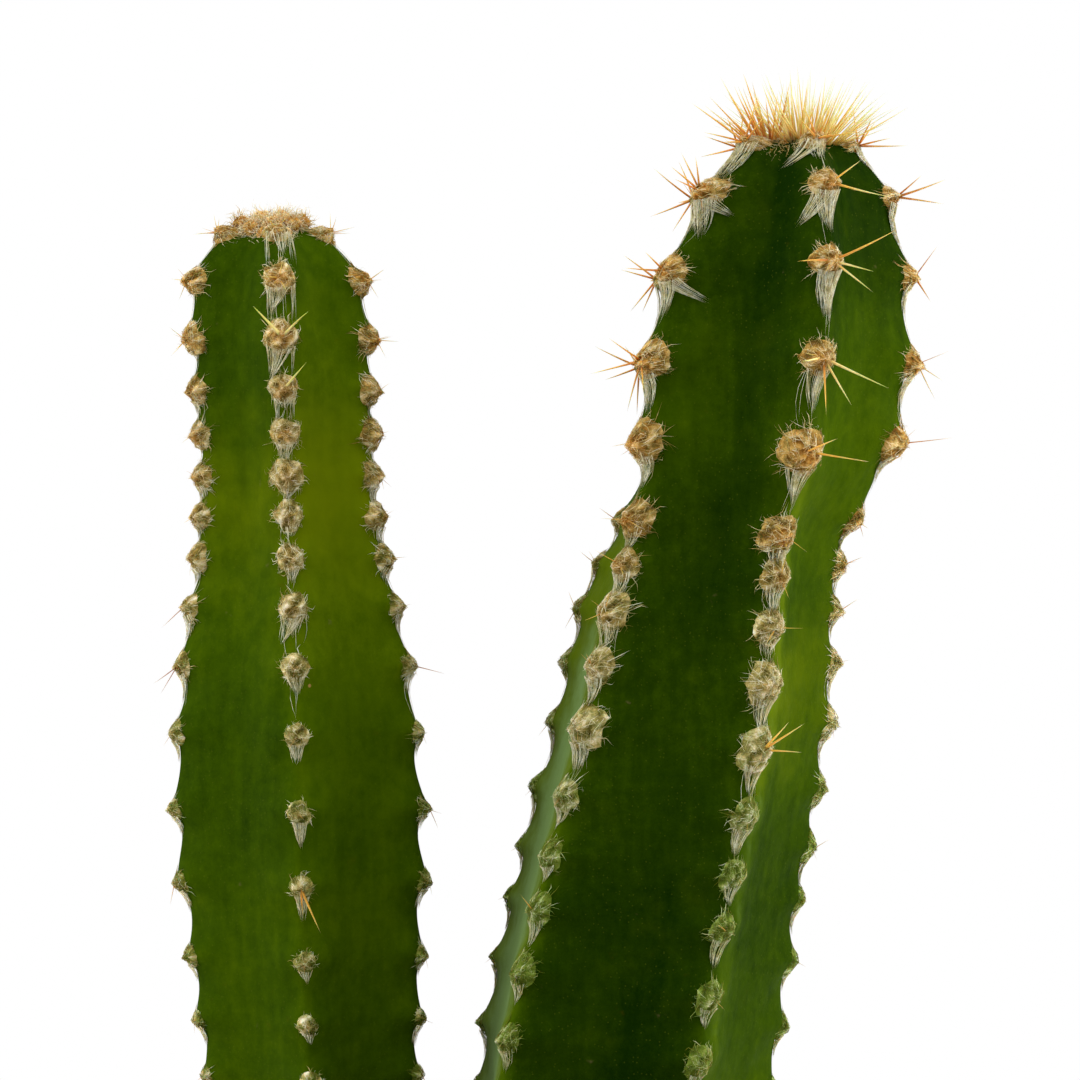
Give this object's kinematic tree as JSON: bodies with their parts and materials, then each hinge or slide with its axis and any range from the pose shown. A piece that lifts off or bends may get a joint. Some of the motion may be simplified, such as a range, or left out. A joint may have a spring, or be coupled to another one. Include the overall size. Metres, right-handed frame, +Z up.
{
  "type": "potted columnar cactus",
  "caption": "Ribbed columnar cactus stems with woolly areoles and golden spines, rooted in potting mix in a plain round clay pot.",
  "frame": {"origin": "centre of the pot's foot, on the surface that the pot stands on", "axes": "+Z up; the front of the picture faces -Y, the tall stem leans towards +X"},
  "size_m": [0.13, 0.13, 0.2832],
  "materials": {
    "clay": "matt unglazed terracotta with faint lime bloom",
    "potting_mix": "dark crumbly potting mix with white perlite grains",
    "green_skin": "waxy green plant skin",
    "areole_wool": "cream and tan plant wool",
    "golden_spine": "golden, slightly translucent spines"
  },
  "bodies": {
    "root": {"pot": "clay", "soil": "potting_mix", "stem_short": "green_skin", "stem_tall": "green_skin"}
  },
  "joints": []
}
